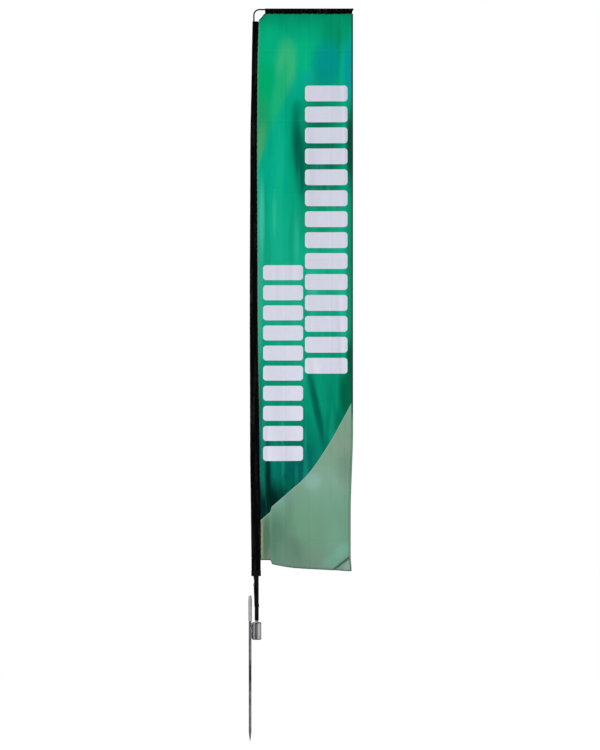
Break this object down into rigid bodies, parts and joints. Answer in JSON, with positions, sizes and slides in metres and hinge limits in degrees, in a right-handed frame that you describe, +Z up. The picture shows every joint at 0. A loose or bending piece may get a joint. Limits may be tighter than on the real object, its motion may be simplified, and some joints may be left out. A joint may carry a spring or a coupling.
{
  "type": "banner flag with pole",
  "caption": "Rectangular banner flag on a sectional pole with a bent top arm, turning on a ball-bearing rotator beside a ground stake.",
  "frame": {"origin": "on the stake's axis where it enters the ground, level with the underside of the rotator", "axes": "+Z up along the stake, +X from the pole to the flag's free edge, -Y out of the flag's front"},
  "size_m": [0.5257, 0.0464, 3.6665],
  "materials": {
    "zinc_steel": "dull zinc-plated",
    "bright_steel": "bright drawn",
    "chrome": "polished plate",
    "dark_steel": "darkened satin",
    "bearing_steel": "ground",
    "alloy": "satin",
    "rubber": "matt",
    "black_nylon": "moulded satin",
    "black_pole": "wound glass fibre, satin gloss",
    "dark_rod": "glass fibre rod, satin",
    "black_fabric": "woven polyester",
    "black_webbing": "polyester webbing",
    "black_elastic": "braided cover",
    "edge_tape": "folded and stitched",
    "printed_cloth": "warp-knit polyester, dye-sublimation print"
  },
  "bodies": {
    "stake": {"stake_rod": "zinc_steel", "driving_head": "bright_steel", "stake_bracket": "zinc_steel", "rotator_housing": "chrome", "housing_bottom_cap": "dark_steel", "housing_top_cap": "dark_steel", "shaft_seal": "rubber", "lower_snap_ring": "dark_steel", "upper_snap_ring": "dark_steel", "lower_bearing_outer_ring": "bearing_steel", "upper_bearing_outer_ring": "bearing_steel"},
    "spindle": {"spindle": "bright_steel", "lower_bearing_inner_ring": "bearing_steel", "upper_bearing_inner_ring": "bearing_steel", "inner_ring_spacer": "dark_steel", "spindle_washer": "zinc_steel", "spindle_nut": "zinc_steel"},
    "lower_cage": {"lower_bearing_balls": "bearing_steel"},
    "upper_cage": {"upper_bearing_balls": "bearing_steel"},
    "pole": {"pole_base_bush": "black_nylon", "pole_base_section": "black_pole", "lower_joint_collar": "alloy", "pole_middle_section": "black_pole", "upper_joint_collar": "alloy", "pole_upper_section": "black_pole", "top_elbow": "dark_rod", "arm_joint_collar": "alloy", "top_arm": "dark_rod", "arm_end_cap": "black_nylon", "pole_sleeve": "black_fabric", "sleeve_cuff": "black_webbing", "top_sleeve": "black_fabric", "flag_cloth": "printed_cloth", "fly_edge_tape": "edge_tape", "bottom_edge_tape": "edge_tape", "corner_binding": "black_webbing", "tension_strap": "black_webbing", "strap_ring": "dark_steel", "elastic_loop": "black_elastic", "pole_hook_clip": "black_nylon"}
  },
  "joints": [
    {"name": "pole_swivel", "type": "hinge", "parent": "stake", "child": "spindle", "pos_m": [0.033, 0, 0.0945], "axis": [0, 0, 1], "continuous": true},
    {"name": "lower_cage_spin", "type": "hinge", "parent": "stake", "child": "lower_cage", "pos_m": [0.033, 0, 0.0205], "axis": [0, 0, 1], "continuous": true},
    {"name": "upper_cage_spin", "type": "hinge", "parent": "stake", "child": "upper_cage", "pos_m": [0.033, 0, 0.068], "axis": [0, 0, 1], "continuous": true},
    {"name": "pole_lift", "type": "slide", "parent": "spindle", "child": "pole", "axis": [0, 0, 1], "range_m": [0, 0.12]}
  ],
  "couplings": [
    {"joint": "lower_cage_spin", "follows": "pole_swivel", "ratio": 0.341},
    {"joint": "upper_cage_spin", "follows": "pole_swivel", "ratio": 0.341}
  ]
}
